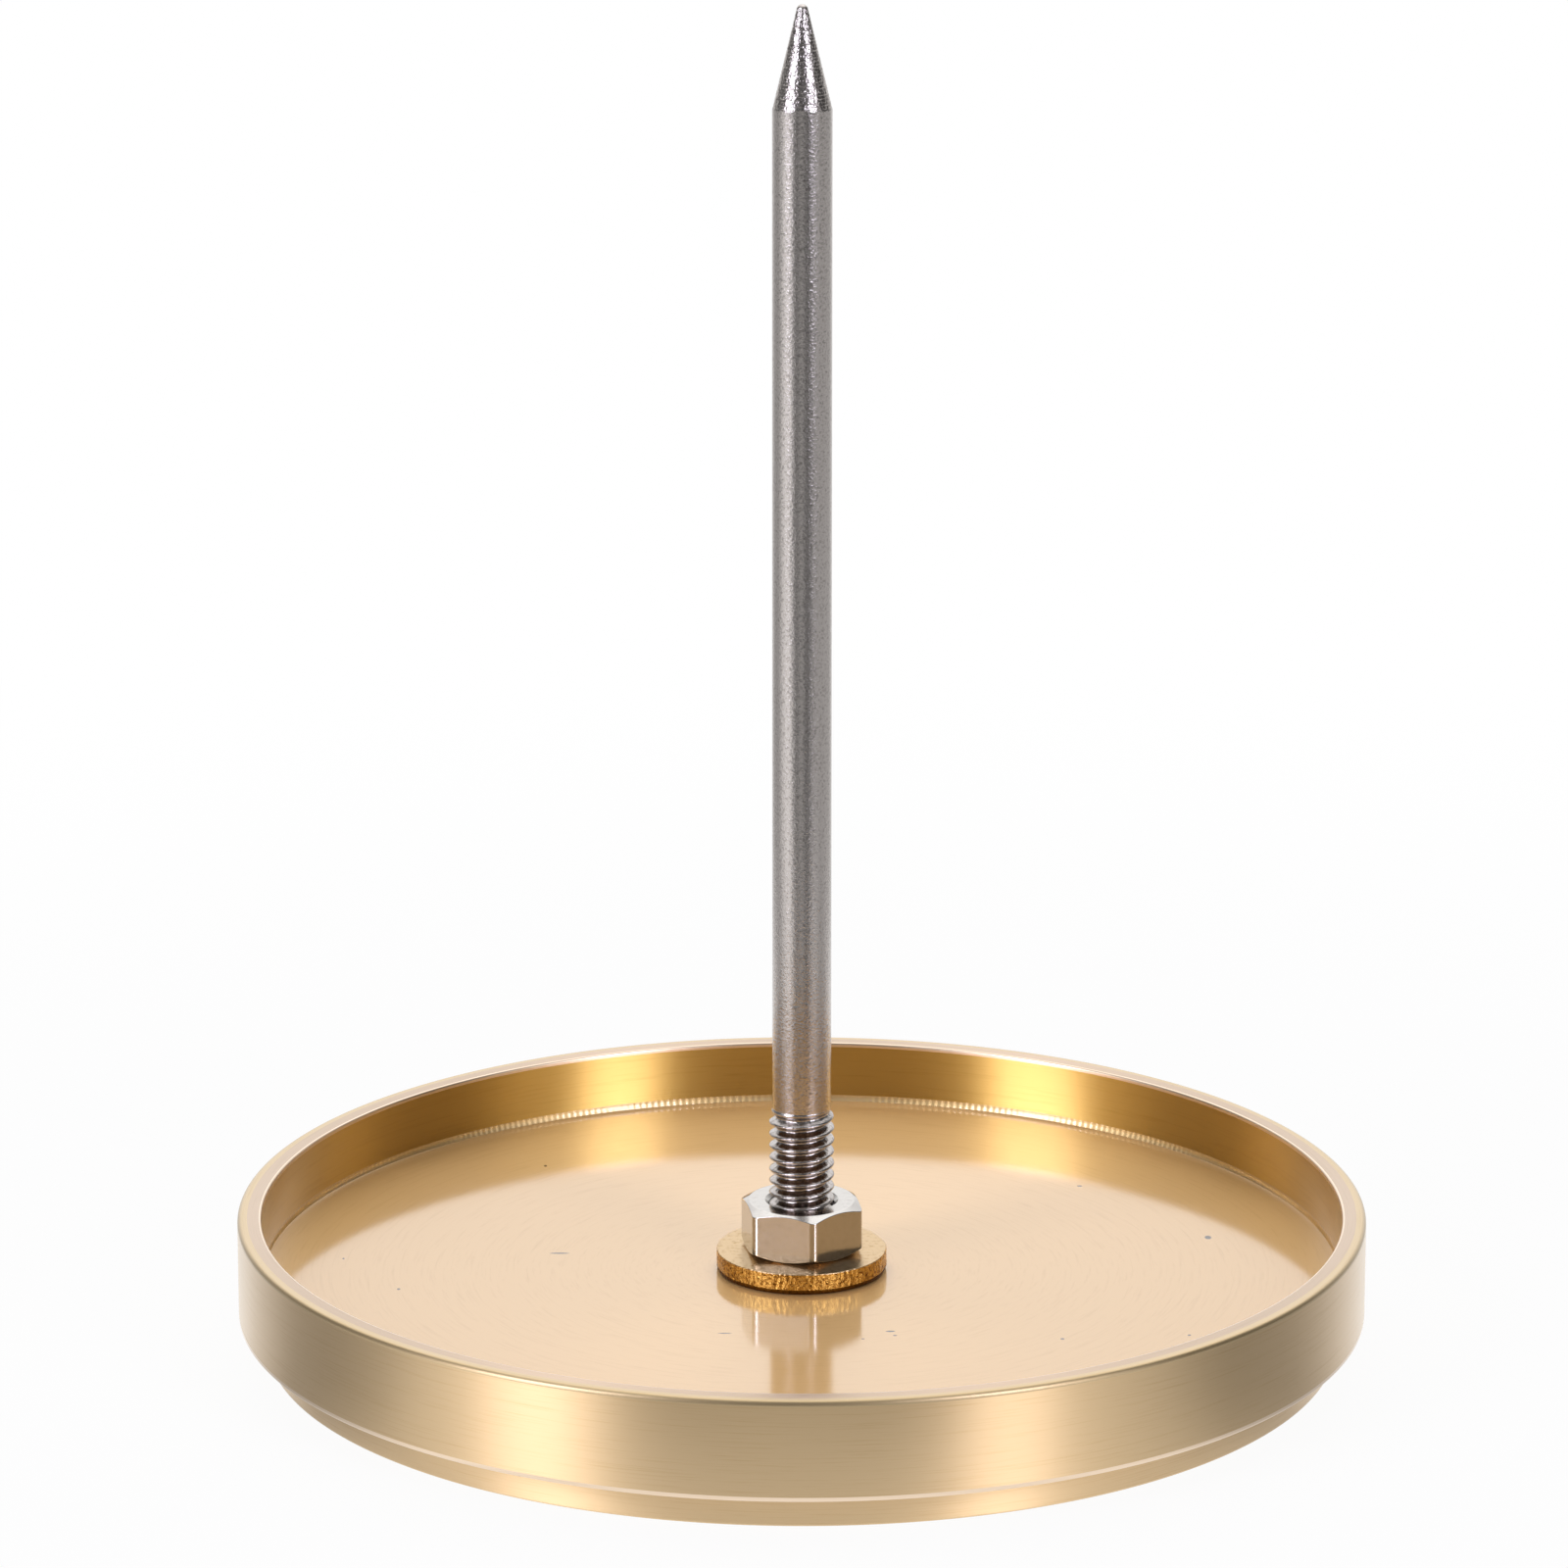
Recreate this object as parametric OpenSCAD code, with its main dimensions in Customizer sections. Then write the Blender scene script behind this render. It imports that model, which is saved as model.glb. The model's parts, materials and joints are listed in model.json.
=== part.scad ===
// Bill spike: a turned brass tray, a stainless spike screwed into its floor, and a washer and nut that lock it.
// The table is the plane z = 0, and the spike stands on the Z axis. All lengths are in millimetres.

/* [Tray] */
// Outside diameter of the tray
tray_d = 104; // [60:0.5:160]
// Height of the tray from the table to its rim
tray_h = 12.5; // [10:0.1:20]
// Thickness of the upright wall
wall_t = 2.2; // [1:0.1:6]
// Height of the dish's floor above the table
floor_h = 6.6; // [4.5:0.1:9.5]
// How far the foot is set in from the outside of the wall
foot_inset = 2.55; // [0.8:0.05:8]
// Height of the set-in foot
foot_h = 3.2; // [1.5:0.1:6]
// Width of the ring that stands on the table
foot_land = 8; // [3:0.5:16]
// Depth of the relief turned inside that ring
relief_h = 1; // [0.4:0.1:2]
// Radius of the rim's outer edge, which is rubbed rounder than the others
rim_r = 0.45; // [0.1:0.05:0.8]
// Radius that breaks the tray's other edges
edge_r = 0.2; // [0.1:0.05:0.4]
// Radius in the corner between floor and wall
corner_r = 0.6; // [0.2:0.1:2]

/* [Spike] */
// Length of the spike from its threaded end to its tip
spike_len = 123.8; // [80:0.1:200]
// Diameter of the plain shank
shank_d = 5.4; // [4:0.1:5.9]
// Length of the turned point
point_len = 9.5; // [5:0.1:20]
// Diameter of the blunt tip
tip_d = 1; // [0.4:0.1:2]
// Outside diameter of the thread
thread_d = 6; // [5.5:0.1:8]
// Length of the threaded end
thread_len = 21.1; // [16:0.1:40]
// Pitch of the thread
thread_pitch = 1.13; // [0.75:0.01:1.5]
// How far the threaded end stops short of the tray's underside
end_recess = 0.2; // [0:0.1:1]

/* [Washer] */
// Outside diameter of the washer
washer_d = 15.8; // [12:0.1:24]
// Thickness of the washer
washer_t = 2; // [1:0.1:3]
// Radius of the lower edge, which the punch rolled over
washer_roll = 0.4; // [0.1:0.05:0.5]

/* [Lock nut] */
// Width of the nut across its flats
nut_af = 10.3; // [9.5:0.1:13]
// Height of the nut
nut_h = 4.7; // [3.2:0.1:6.5]
// Angle of the nut's front corner, turned from straight ahead
nut_turn = 11; // [0:1:59]

/* [Fits] */
// Radial clearance of the thread in the tray and in the nut
thread_clear = 0.05; // [0.02:0.01:0.1]
// Radial clearance of the thread in the washer
washer_clear = 0.25; // [0.1:0.05:0.5]

/* [Hidden] */
$fn = 180;

// How far a cutting shape runs past the face that it opens
past = 1;

tray_r = tray_d / 2;
dish_r = tray_r - wall_t;
foot_r = tray_r - foot_inset;

thread_r = thread_d / 2;
shank_r = shank_d / 2;
tapped_r = thread_r + thread_clear;
// Depth of a 60 degree thread, which sets the bevels at the ends of the thread and of its holes
thread_depth = 0.6134 * thread_pitch;
hole_bevel = thread_depth / 2;
run_out = thread_pitch / 2;

// Levels of the spike, from its threaded end to the centre of the ball at its tip
spike_z = relief_h + end_recess;
shank_z = spike_z + thread_len;
point_z = spike_z + spike_len - point_len;
tip_r = tip_d / 2;
ball_z = spike_z + spike_len - tip_r;

// Angle between the point's flank and the axis, at which the flank runs into the ball without a corner
ball_h = ball_z - point_z;
flank_angle = acos(tip_r / norm([shank_r, ball_h])) - atan2(ball_h, shank_r);

// The washer lies on the floor, and the nut on the washer
washer_z = floor_h;
nut_z = washer_z + washer_t;

// The nut's bevels start inside its flats, at 30 degrees to its faces, and take off its corners
bevel_angle = 30;
nut_corner_r = nut_af / sqrt(3);
nut_face_r = 0.95 * nut_af / 2;
bevel_r = nut_corner_r + past;
bevel_h = (bevel_r - nut_face_r) * tan(bevel_angle);

// What a round of radius r takes off a corner: its centre is the origin, and the corner points to +X and +Y
module edge_waste(r) {
    difference() {
        square(r + past);
        circle(r);
    }
}

// A hole for the thread between two levels, bevelled where it opens
module tapped_hole(low_z, high_z) {
    mouth_r = tapped_r + hole_bevel + past;
    rotate_extrude()
        polygon([
            [0, low_z - past],
            [mouth_r, low_z - past],
            [tapped_r, low_z + hole_bevel],
            [tapped_r, high_z - hole_bevel],
            [mouth_r, high_z + past],
            [0, high_z + past]
        ]);
}

// The space inside the rim, with a round corner at the foot of the wall
module dish_section() {
    difference() {
        translate([0, floor_h])
            square([dish_r, tray_h - floor_h + past]);
        translate([dish_r - corner_r, floor_h + corner_r])
            mirror([0, 1])
                edge_waste(corner_r);
    }
}

// Half of the tray's section: the foot, the wider body on it, and what the lathe took out of them
module tray_section() {
    difference() {
        union() {
            square([foot_r, foot_h]);
            translate([0, foot_h])
                square([tray_r, tray_h - foot_h]);
        }
        dish_section();
        translate([0, -past])
            square([foot_r - foot_land, relief_h + past]);
        translate([tray_r - rim_r, tray_h - rim_r])
            edge_waste(rim_r);
        translate([dish_r + edge_r, tray_h - edge_r])
            mirror([1, 0])
                edge_waste(edge_r);
        translate([tray_r - edge_r, foot_h + edge_r])
            mirror([0, 1])
                edge_waste(edge_r);
        translate([foot_r - edge_r, edge_r])
            mirror([0, 1])
                edge_waste(edge_r);
    }
}

module tray() {
    color("#c9ab74")
        difference() {
            rotate_extrude()
                tray_section();
            tapped_hole(relief_h, floor_h);
        }
}

// Half of the spike's section: the thread at its outside diameter, the shank, the point and the ball at its tip
module spike_section() {
    meet_r = tip_r * cos(flank_angle);
    meet_z = ball_z + tip_r * sin(flank_angle);
    polygon([
        [0, spike_z],
        [thread_r - thread_depth, spike_z],
        [thread_r, spike_z + thread_depth],
        [thread_r, shank_z - run_out],
        [shank_r, shank_z],
        [shank_r, point_z],
        [meet_r, meet_z],
        [0, meet_z]
    ]);
    intersection() {
        translate([0, ball_z])
            circle(tip_r);
        translate([0, ball_z])
            square(tip_r);
    }
}

module spike() {
    color("#b3b0ab")
        rotate_extrude()
            spike_section();
}

module washer() {
    hole_r = thread_r + washer_clear;
    washer_r = washer_d / 2;
    color("#c8963e")
        rotate_extrude()
            difference() {
                translate([hole_r, washer_z])
                    square([washer_r - hole_r, washer_t]);
                translate([washer_r - washer_roll, washer_z + washer_roll])
                    mirror([0, 1])
                        edge_waste(washer_roll);
            }
}

// A turned blank with a bevel on each face, which meets the hexagon in the curved edges of a real nut
module nut_blank() {
    rotate_extrude()
        polygon([
            [0, 0],
            [nut_face_r, 0],
            [bevel_r, bevel_h],
            [bevel_r, nut_h - bevel_h],
            [nut_face_r, nut_h],
            [0, nut_h]
        ]);
}

module lock_nut() {
    color("#d2cfc8")
        difference() {
            translate([0, 0, nut_z])
                intersection() {
                    nut_blank();
                    rotate(nut_turn - 90)
                        cylinder(r = nut_corner_r, h = nut_h, $fn = 6);
                }
            tapped_hole(nut_z, nut_z + nut_h);
        }
}

tray();
spike();
washer();
lock_nut();
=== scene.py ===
# %% [markdown]
# This lesson dresses a desk bill spike: a stainless spike that stands in a low brass tray, locked by a
# nut over a washer. The construction comes in as a fixed frame of plain solids. The lesson makes the
# finished pieces on those sizes, with the screw threads, the lathe marks and the metals that a
# photograph of such an object shows.

# %% Load the frame
import json
import math

import bmesh
import bpy
import numpy as np
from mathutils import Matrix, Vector, noise


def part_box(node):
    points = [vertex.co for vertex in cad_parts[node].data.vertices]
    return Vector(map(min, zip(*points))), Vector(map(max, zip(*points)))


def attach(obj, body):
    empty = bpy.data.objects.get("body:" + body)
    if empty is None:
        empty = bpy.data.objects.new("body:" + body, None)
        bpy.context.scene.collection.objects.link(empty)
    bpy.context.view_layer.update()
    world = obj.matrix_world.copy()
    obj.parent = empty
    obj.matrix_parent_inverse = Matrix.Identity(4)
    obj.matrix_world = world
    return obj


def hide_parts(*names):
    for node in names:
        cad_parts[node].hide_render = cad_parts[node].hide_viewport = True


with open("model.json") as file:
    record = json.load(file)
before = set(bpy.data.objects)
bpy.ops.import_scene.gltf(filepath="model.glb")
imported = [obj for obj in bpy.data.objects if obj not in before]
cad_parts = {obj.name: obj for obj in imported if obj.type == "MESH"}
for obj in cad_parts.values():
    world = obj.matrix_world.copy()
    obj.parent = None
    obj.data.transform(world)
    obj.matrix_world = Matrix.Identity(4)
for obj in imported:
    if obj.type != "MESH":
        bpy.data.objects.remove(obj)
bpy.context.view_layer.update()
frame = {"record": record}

# %% [markdown]
# Every size that the frame knows is read from it: the boxes of the solids, the shank as the record
# states it, and the pitch from the coupling that lifts the nut as it turns. Only what a box can't say,
# such as a wall's thickness, is written here. Lengths are in metres, as everywhere in Blender.

# %% Sizes from the frame
MM = 0.001
# A 60 degree thread is this deep for its pitch
DEPTH_SHARE = 0.6134

tray_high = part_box("tray")[1]
spike_low, spike_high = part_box("spike")
washer_low, washer_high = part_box("washer")
nut_low, nut_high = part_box("lock_nut")
shank_mount = next(m for m in frame["record"]["mounts"] if m["name"] == "spike_shank")
nut_coupling = frame["record"]["behaviour"]["couplings"][0]

tray_r = tray_high.x
tray_h = tray_high.z
floor_z = washer_low.z
thread_r = spike_high.x
thread_pitch = nut_coupling["ratio"] * 2 * math.pi
thread_depth = DEPTH_SHARE * thread_pitch
shank_r = shank_mount["dims"]["r_mm"] * MM
shank_half = shank_mount["dims"]["length_mm"] * MM / 2
shank_low_z = shank_mount["pos_m"][2] - shank_half
shank_high_z = shank_mount["pos_m"][2] + shank_half
print(f"tray {2 * tray_r / MM:.1f} mm across, thread {2 * thread_r / MM:.2f} mm")
print(f"pitch {thread_pitch / MM:.3f} mm")

# %% [markdown]
# A lathe makes most of this object, and two functions stand in for it. The first draws an outline from
# corners, and rounds each one as a tool or a rub of abrasive would. A Bevel modifier could round a
# finished mesh instead, but here each corner has a radius and a finish of its own.

# %% Outlines with rounded corners
# Two more points just outside each round, this share of its radius away, keep its shading off the flat faces
GUARD_SHARE = 1 / 8


def rounded(corners, steps=7):
    """Points of (radius, height, finish) from corners of (radius, height, rounding, finish)."""
    points = []
    for i, (radius, height, rounding, finish) in enumerate(corners):
        here = Vector((radius, height))
        if rounding == 0:
            points.append((radius, height, finish))
            continue
        back = (Vector(corners[i - 1][:2]) - here).normalized()
        on = (Vector(corners[(i + 1) % len(corners)][:2]) - here).normalized()
        half = back.angle(on) / 2
        sweep = math.pi - 2 * half
        centre = here + (back + on).normalized() * rounding / math.sin(half)
        start = here + back * rounding / math.tan(half) - centre
        end = here + on * rounding / math.tan(half) - centre
        arc = [start + back * rounding * GUARD_SHARE]
        for t in np.linspace(0, 1, steps):
            arc.append((start * math.sin((1 - t) * sweep) + end * math.sin(t * sweep)) / math.sin(sweep))
        arc.append(end + on * rounding * GUARD_SHARE)
        points += [(centre.x + p.x, centre.y + p.y, finish) for p in arc]
    return points


square = [(0, 0, 0, 0), (1, 0, 0.1, 0), (1, 1, 0, 0), (0, 1, 0, 0)]
print("a square with one round corner:", len(rounded(square)), "points")

# %% [markdown]
# The second function sweeps the outline about the Z axis, as the work turns in a lathe. The Screw
# modifier could do that too. A function can also let the outline change with the angle, give each
# stretch its own finish, and store how far along the outline each point lies, so that a finish can draw
# tool marks that follow the surface.

# %% A lathe
SHARP_ANGLE = math.radians(28)
# Points nearer to the axis than this lie on it
AXIS_R = 1e-9


def lathe(name, angles, outline_at, materials):
    """Sweeps an outline, which may change with the angle, and closes it unless it starts on the axis."""
    outlines = [outline_at(angle) for angle in angles]
    first = outlines[0]
    turns = len(angles)
    on_axis = [point[0] < AXIS_R for point in first]
    steps = [math.dist(a[:2], b[:2]) for a, b in zip(first, first[1:])]
    along = np.concatenate([[0], np.cumsum(steps)])

    vertices, lengths, rings = [], [], []
    for row, pole in enumerate(on_axis):
        count = 1 if pole else turns
        rings.append([len(vertices) + i for i in range(count)])
        for i in range(count):
            radius, height = outlines[i][row][:2]
            vertices.append((radius * math.cos(angles[i]), radius * math.sin(angles[i]), height))
            lengths.append(along[row])

    faces, finishes = [], []
    for row in range(1 if any(on_axis) else 0, len(first)):
        low, high = rings[row - 1], rings[row]
        for i in range(turns):
            j = (i + 1) % turns
            corners = [low[i % len(low)], low[j % len(low)], high[j % len(high)], high[i % len(high)]]
            faces.append(tuple(dict.fromkeys(corners)))
            finishes.append(first[row][2])

    mesh = bpy.data.meshes.new(name)
    mesh.from_pydata(vertices, [], faces)
    for material in materials:
        mesh.materials.append(material)
    mesh.polygons.foreach_set("material_index", finishes)
    mesh.attributes.new("along", "FLOAT", "POINT").data.foreach_set("value", lengths)
    shell = bmesh.new()
    shell.from_mesh(mesh)
    bmesh.ops.recalc_face_normals(shell, faces=shell.faces)
    shell.to_mesh(mesh)
    shell.free()
    mesh.shade_smooth()
    mesh.set_sharp_from_angle(angle=SHARP_ANGLE)
    piece = bpy.data.objects.new(name, mesh)
    bpy.context.scene.collection.objects.link(piece)
    print(f"{name}: {len(first)} points in the outline, {len(faces)} faces")
    return piece


def full_turn(segments):
    """Evenly spaced angles for a round piece."""
    return [2 * math.pi * i / segments for i in range(segments)]


# %% [markdown]
# Node trees come next, for the threads and the finishes. One small function adds a node, sets it and
# links it, so that a tree reads as a list of what it is made of. A socket goes by its name, or by its
# number where several share a name: in Map Range, 1 and 2 are the range that comes in, and 3 and 4 the
# one that goes out. Colours are written as sRGB hex values, as a colour picker shows them, and one
# function makes them linear, because Blender's sockets hold linear light.

# %% Helpers for node trees
# A place times this loses its height
FLAT = (1, 1, 0)


def linear(colour):
    """An sRGB hex colour as linear red, green, blue and alpha."""
    parts = [int(colour[i:i + 2], 16) / 255 for i in (1, 3, 5)]
    return [c / 12.92 if c <= 0.04045 else ((c + 0.055) / 1.055) ** 2.4 for c in parts] + [1.0]


def add(tree, kind, values=None, links=None, **settings):
    """Adds a node, with its settings, its constant inputs and the outputs linked to its other inputs."""
    made = tree.nodes.new(kind)
    for key, value in settings.items():
        setattr(made, key, value)
    for socket, value in (values or {}).items():
        made.inputs[socket].default_value = value
    for socket, source in (links or {}).items():
        tree.links.new(source, made.inputs[socket])
    return made


def new_finish(name):
    """An empty material, its tree and its output node."""
    material = bpy.data.materials.new(name)
    material.use_nodes = True
    tree = material.node_tree
    tree.nodes.clear()
    return material, tree, add(tree, "ShaderNodeOutputMaterial")


print("middle grey #808080 is", round(linear("#808080")[0], 3), "in linear light")

# %% [markdown]
# A screw thread is one groove that winds up a rod, and the same groove inside a hole makes a nut. A
# profile swept along a helix and a boolean could cut it, but a boolean leaves poor faces. Here Geometry
# Nodes push the points of a plain blank in or out instead: the angle and the height of a point say where
# in the groove it lies. The profile is a wave, as rounded as a worn thread, so that crests and roots
# each catch a thin light. A little noise shifts the groove up and down, because a cut thread is ragged
# when seen this close.

# %% Where in the groove a point lies
RAGGED_SIZE = 0.7 * MM
RAGGED_SHARE = 0.14


def groove_at(tree, inputs, xyz):
    """How deep the groove is, from 0 at a crest to 1 at a root, and how many turns up the point lies."""
    angle = add(tree, "ShaderNodeMath", links={0: xyz["Y"], 1: xyz["X"]}, operation="ARCTAN2")
    turn = add(tree, "ShaderNodeMath", {1: 2 * math.pi}, {0: angle.outputs[0]}, operation="DIVIDE")
    height = add(tree, "ShaderNodeMath", links={0: xyz["Z"], 1: inputs["Pitch"]}, operation="DIVIDE")
    even = add(tree, "ShaderNodeMath", links={0: height.outputs[0], 1: turn.outputs[0]}, operation="SUBTRACT")
    ragged = add(tree, "ShaderNodeTexNoise", {"Scale": 1 / RAGGED_SIZE, "Detail": 2})
    shifted = add(tree, "ShaderNodeMath", {1: RAGGED_SHARE}, {0: ragged.outputs["Fac"], 2: even.outputs[0]},
                  operation="MULTIPLY_ADD")
    climb = add(tree, "ShaderNodeMath", links={0: shifted.outputs[0], 1: inputs["Start"]}, operation="ADD")
    phase = add(tree, "ShaderNodeMath", {1: 2 * math.pi}, {0: climb.outputs[0]}, operation="MULTIPLY")
    wave = add(tree, "ShaderNodeMath", links={0: phase.outputs[0]}, operation="COSINE")
    groove = add(tree, "ShaderNodeMapRange", {1: 1, 2: -1}, {0: wave.outputs[0]})
    return groove.outputs[0], climb.outputs[0]


# %% Where the cut moves a point
def cut_place(tree, inputs, xyz, groove):
    """Where a point goes, and how much of the groove is left there as it runs out."""
    cut = add(tree, "ShaderNodeMath", links={0: groove, 1: inputs["Depth"]}, operation="MULTIPLY")
    cut_r = add(tree, "ShaderNodeMath", links={0: inputs["Radius"], 1: cut.outputs[0]}, operation="SUBTRACT")

    # The groove runs out into the shank at its upper end, and a bevel starts it at its lower end
    fade = add(tree, "ShaderNodeMath", links={0: inputs["High end"], 1: inputs["Run-out"]},
               operation="SUBTRACT")
    full = add(tree, "ShaderNodeMapRange", {3: 1, 4: 0},
               {0: xyz["Z"], 1: fade.outputs[0], 2: inputs["High end"]})
    run_r = add(tree, "ShaderNodeMix",
                links={0: full.outputs[0], 2: inputs["End radius"], 3: cut_r.outputs[0]})
    root_r = add(tree, "ShaderNodeMath", links={0: inputs["Radius"], 1: inputs["Depth"]},
                 operation="SUBTRACT")
    above = add(tree, "ShaderNodeMath", links={0: xyz["Z"], 1: inputs["Low end"]}, operation="SUBTRACT")
    bevel_r = add(tree, "ShaderNodeMath", links={0: root_r.outputs[0], 1: above.outputs[0]}, operation="ADD")
    radius = add(tree, "ShaderNodeMath", links={0: run_r.outputs[0], 1: bevel_r.outputs[0]},
                 operation="MINIMUM")

    flat = add(tree, "ShaderNodeCombineXYZ", links={0: xyz["X"], 1: xyz["Y"]})
    outwards = add(tree, "ShaderNodeVectorMath", links={0: flat.outputs[0]}, operation="NORMALIZE")
    side = add(tree, "ShaderNodeVectorMath", links={0: outwards.outputs[0], "Scale": radius.outputs[0]},
               operation="SCALE")
    level = add(tree, "ShaderNodeCombineXYZ", links={2: xyz["Z"]})
    place = add(tree, "ShaderNodeVectorMath", links={0: side.outputs[0], 1: level.outputs[0]},
                operation="ADD")
    return place.outputs[0], full.outputs[0]


# %% [markdown]
# The dark line below every turn of the thread is painted shade: the shade under each crest is painted
# into the steel's colour. Noise could scatter it anywhere, but here the tree already knows where a point
# lies in the groove, so it stores how dark each point is painted as an attribute, and the steel's finish
# reads it. The shaded stretch is given in turns, from one crest to the next.

# %% Where the painted shade lies
# The painted shade under each crest: its middle in turns, where it is full and where it ends, and how dark it
# gets
SHADE_MIDDLE = 0.72
SHADE_HALF, SHADE_EDGE = 0.1, 0.17
SHADE_MOST = 0.95


def painted_shade_at(tree, climb, full):
    """How dark the painted shade is at a point of the thread."""
    share = add(tree, "ShaderNodeMath", links={0: climb}, operation="FRACT")
    below = add(tree, "ShaderNodeMath", {1: SHADE_MIDDLE}, {0: share.outputs[0]}, operation="SUBTRACT")
    away = add(tree, "ShaderNodeMath", links={0: below.outputs[0]}, operation="ABSOLUTE")
    under = add(tree, "ShaderNodeMapRange", {1: SHADE_HALF, 2: SHADE_EDGE, 3: SHADE_MOST, 4: 0},
                {0: away.outputs[0]})
    painted_shade = add(tree, "ShaderNodeMath", links={0: under.outputs[0], 1: full}, operation="MULTIPLY")
    return painted_shade.outputs[0]


# %% The thread tree
THREAD_SIZES = ("Pitch", "Start", "Radius", "Depth", "Low end", "High end", "Run-out", "End radius", "Reach")


def thread_tree():
    """Cuts a right-hand thread into the points of a blank that lie below one height and within one radius."""
    tree = bpy.data.node_groups.new("screw_thread", "GeometryNodeTree")
    tree.interface.new_socket("Geometry", in_out="INPUT", socket_type="NodeSocketGeometry")
    for name in THREAD_SIZES:
        tree.interface.new_socket(name, in_out="INPUT", socket_type="NodeSocketFloat")
    tree.interface.new_socket("Material", in_out="INPUT", socket_type="NodeSocketMaterial")
    tree.interface.new_socket("Geometry", in_out="OUTPUT", socket_type="NodeSocketGeometry")
    inputs = add(tree, "NodeGroupInput").outputs
    position = add(tree, "GeometryNodeInputPosition").outputs[0]
    xyz = add(tree, "ShaderNodeSeparateXYZ", links={0: position}).outputs

    # The choice of points is stored before they move, because it reads their places
    flat = add(tree, "ShaderNodeVectorMath", {1: FLAT}, {0: position}, operation="MULTIPLY")
    away = add(tree, "ShaderNodeVectorMath", links={0: flat.outputs[0]}, operation="LENGTH")
    within = add(tree, "FunctionNodeCompare", links={0: away.outputs["Value"], 1: inputs["Reach"]},
                 operation="LESS_THAN")
    below = add(tree, "FunctionNodeCompare", links={0: xyz["Z"], 1: inputs["High end"]},
                operation="LESS_THAN")
    both = add(tree, "FunctionNodeBooleanMath", links={0: within.outputs[0], 1: below.outputs[0]},
               operation="AND")
    chosen = add(tree, "GeometryNodeStoreNamedAttribute", {"Name": "threaded"},
                 {"Geometry": inputs["Geometry"], "Value": both.outputs[0]}, data_type="BOOLEAN")
    kept = add(tree, "GeometryNodeInputNamedAttribute", {"Name": "threaded"}, data_type="BOOLEAN")
    threaded = kept.outputs[0]

    groove, climb = groove_at(tree, inputs, xyz)
    place, full = cut_place(tree, inputs, xyz, groove)
    painted_shade = painted_shade_at(tree, climb, full)
    # The attribute named groove holds this painted shade
    shade_stored = add(tree, "GeometryNodeStoreNamedAttribute", {"Name": "groove"},
                 {"Geometry": chosen.outputs[0], "Selection": threaded, "Value": painted_shade})
    moved = add(tree, "GeometryNodeSetPosition",
                links={"Geometry": shade_stored.outputs[0], "Selection": threaded, "Position": place})
    real = add(tree, "GeometryNodeRealizeInstances", links={0: moved.outputs[0]})
    painted = add(tree, "GeometryNodeSetMaterial",
                  links={"Geometry": real.outputs[0], "Selection": threaded, "Material": inputs["Material"]})
    add(tree, "NodeGroupOutput", links={0: painted.outputs[0]})
    print("thread tree:", len(tree.nodes), "nodes")
    return tree


screw_thread = thread_tree()


# %% Cutting with the tree
def cut_thread(piece, sizes):
    """Runs the thread tree on a piece and keeps the result as its plain mesh."""
    modifier = piece.modifiers.new("thread", "NODES")
    modifier.node_group = screw_thread
    for item in screw_thread.interface.items_tree:
        if item.in_out == "INPUT" and item.name in sizes:
            modifier[item.identifier] = sizes[item.name]
    evaluated = piece.evaluated_get(bpy.context.evaluated_depsgraph_get())
    mesh = bpy.data.meshes.new_from_object(evaluated)
    piece.modifiers.remove(modifier)
    piece.data = mesh
    print(f"{piece.name}: {len(mesh.polygons)} faces with its thread")


# %% [markdown]
# The tray is brass, cut on a lathe, rubbed with abrasive while it turned, and lacquered. The rubbing
# leaves fine lines round the axis: a lamp shows as a long streak across the lines and stays narrow along
# them. Anisotropy with a radial tangent gives that streak. The lacquer is a clear coat, which shows a
# sharper, whiter reflection at low angles. The lines that are wide enough to see could be painted, but
# noise that is stretched round the axis and packed along the outline follows every face without a seam.
# A few pores and scratches of the floor are small dark ovals, placed one by one.

# %% Small dark marks on a level face
MARK_COLOUR = "#3a2818"
MARK_INSIDE, MARK_OUTSIDE = 0.4, 0.6


def in_marks(tree, place, marks):
    """Is 1 inside any of the marks, which are ovals of (x, y, length, width) in mm, and else 0."""
    nearest = None
    for x, y, length, width in marks:
        oval = add(tree, "ShaderNodeMapping",
                   {"Location": (x * MM, y * MM, 0), "Scale": (length * MM, width * MM, 1)},
                   {"Vector": place}, vector_type="TEXTURE")
        far = add(tree, "ShaderNodeVectorMath", links={0: oval.outputs[0]}, operation="LENGTH")
        away = far.outputs["Value"]
        if nearest is not None:
            least = add(tree, "ShaderNodeMath", links={0: nearest, 1: away}, operation="MINIMUM")
            away = least.outputs[0]
        nearest = away
    inside = add(tree, "ShaderNodeMapRange", {1: MARK_INSIDE, 2: MARK_OUTSIDE, 3: 1, 4: 0}, {0: nearest})
    return inside.outputs[0]


# %% Turned and lacquered brass
CHATTER_DEPTH = 0.006 * MM
# How often a line swells and fades on its way round, and which part of the noise shows as a darker streak
LINES_ROUND = 6
STREAK_FROM, STREAK_FULL = 0.52, 0.8
# A quarter turn lays the streak of a lamp across the lines
ACROSS_LINES = 0.25


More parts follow.
